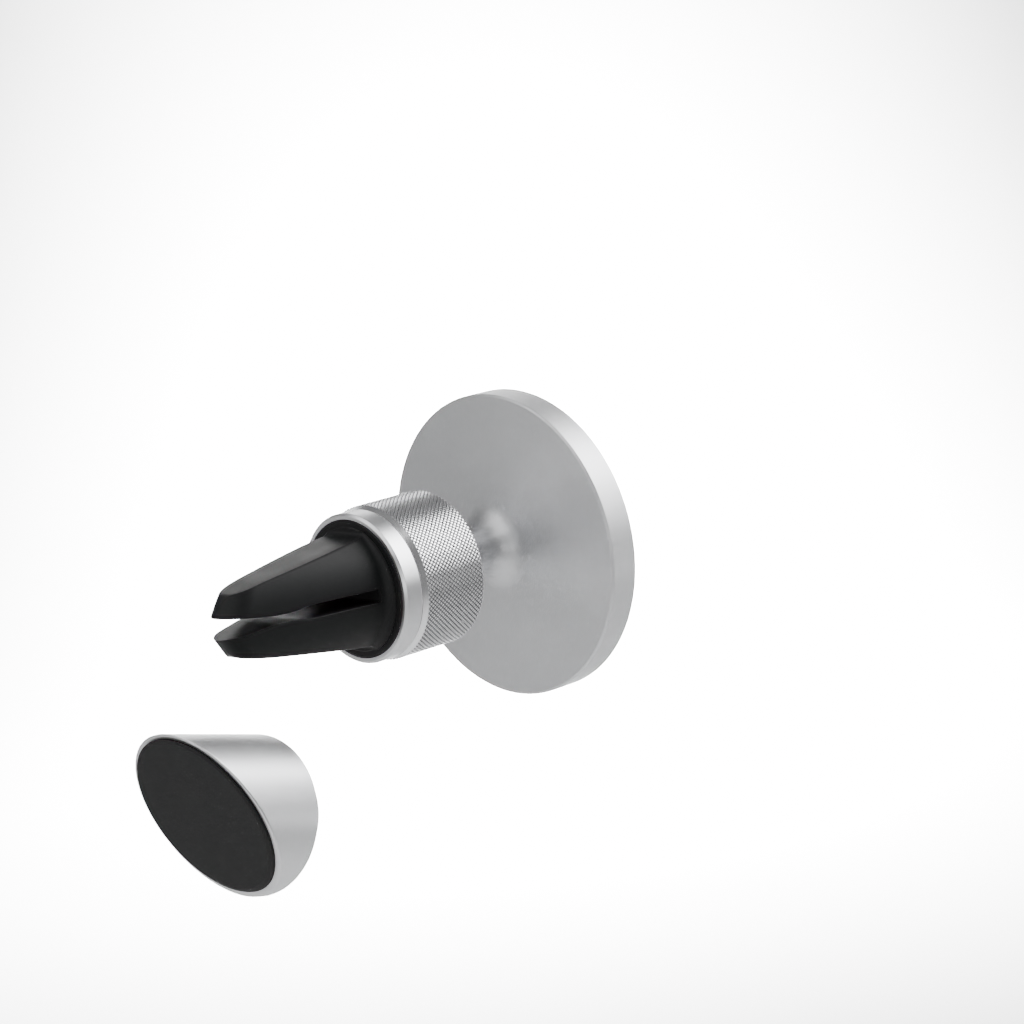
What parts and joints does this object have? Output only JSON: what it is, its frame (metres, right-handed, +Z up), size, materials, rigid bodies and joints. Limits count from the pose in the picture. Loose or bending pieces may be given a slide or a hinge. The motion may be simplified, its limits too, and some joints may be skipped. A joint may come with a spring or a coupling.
{
  "type": "car phone mount",
  "caption": "Car phone mount: round magnetic head on a ball joint with a knurled clamping collar, a sprung fork that grips a vent blade, and a loose slanted dashboard base with an adhesive pad.",
  "frame": {"origin": "centre of the flat face that the phone rests on", "axes": "+Y out of the phone face towards the phone, -Y along the stem into the vent, +Z up with the jaws one above the other, +X to the right as seen from the vent"},
  "size_m": [0.0575, 0.0982, 0.0728],
  "materials": {
    "satin_aluminium": "satin, fine turned",
    "knurled_aluminium": "satin, diamond knurled",
    "black_rubber": "matte",
    "face_silicone": "matte, fine grained",
    "black_plastic": "matte",
    "foam_pad": "matte foam",
    "tape_film": "satin film",
    "nylon": "matte",
    "magnet_nickel": "nickel plated",
    "steel": "zinc plated",
    "ball_steel": "polished"
  },
  "bodies": {
    "clip": {"fork_root": "black_rubber", "front_ring": "satin_aluminium", "socket_insert": "black_plastic", "socket_screws": "steel", "cup_cushion": "black_rubber"},
    "cup": {"seat_cup": "nylon"},
    "ball": {"ball": "ball_steel"},
    "head": {"head_shell": "satin_aluminium", "face_pad": "face_silicone", "pad_adhesive": "tape_film", "magnet_carrier": "black_plastic", "back_plate": "steel", "ball_screw": "steel", "ball_screw_washer": "steel", "magnet_01": "magnet_nickel", "magnet_02": "magnet_nickel", "magnet_03": "magnet_nickel", "magnet_04": "magnet_nickel", "magnet_05": "magnet_nickel", "magnet_06": "magnet_nickel", "magnet_07": "magnet_nickel", "magnet_08": "magnet_nickel", "magnet_09": "magnet_nickel", "magnet_10": "magnet_nickel", "magnet_11": "magnet_nickel", "magnet_12": "magnet_nickel", "magnet_13": "magnet_nickel", "magnet_14": "magnet_nickel", "magnet_15": "magnet_nickel", "magnet_16": "magnet_nickel"},
    "liner": {"collar_liner": "nylon"},
    "collar": {"knurled_collar": "knurled_aluminium"},
    "upper_jaw": {"upper_jaw": "black_rubber", "upper_jaw_core": "steel"},
    "lower_jaw": {"lower_jaw": "black_rubber", "lower_jaw_core": "steel"},
    "dash_base": {"dash_base_shell": "satin_aluminium", "dash_pad": "foam_pad", "dash_pad_tape": "tape_film", "dash_socket_insert": "black_plastic", "dash_screws": "steel", "dash_seat_cup": "nylon", "dash_cushion": "black_rubber"}
  },
  "joints": [
    {"name": "ball_swing", "type": "hinge", "parent": "clip", "child": "cup", "pos_m": [0, -0.034, 0], "axis": [0, 1, 0], "continuous": true},
    {"name": "ball_tilt", "type": "hinge", "parent": "cup", "child": "ball", "pos_m": [0, -0.034, 0], "axis": [1, 0, 0], "range_deg": [-25, 25]},
    {"name": "head_spin", "type": "hinge", "parent": "ball", "child": "head", "pos_m": [0, -0.034, 0], "axis": [0, 1, 0], "continuous": true},
    {"name": "liner_slide", "type": "slide", "parent": "clip", "child": "liner", "axis": [0, 1, 0], "range_m": [0, 0.001]},
    {"name": "collar_turn", "type": "hinge", "parent": "liner", "child": "collar", "pos_m": [0, -0.034, 0], "axis": [0, 1, 0], "range_deg": [0, 360]},
    {"name": "upper_jaw_flex", "type": "hinge", "parent": "clip", "child": "upper_jaw", "pos_m": [0, -0.0455, 0.0099], "axis": [-1, 0, 0], "range_deg": [0, 4], "stiffness_Nm_per_rad": 2},
    {"name": "lower_jaw_flex", "type": "hinge", "parent": "clip", "child": "lower_jaw", "pos_m": [0, -0.0455, -0.0099], "axis": [1, 0, 0], "range_deg": [0, 4], "stiffness_Nm_per_rad": 2},
    {"name": "dash_base_away", "type": "slide", "parent": "clip", "child": "dash_base", "axis": [0.1424, -0.953, 0.2672], "range_m": [0, 0.05]}
  ],
  "couplings": [
    {"joint": "liner_slide", "follows": "collar_turn", "m_per_rad": 0.00015915}
  ]
}
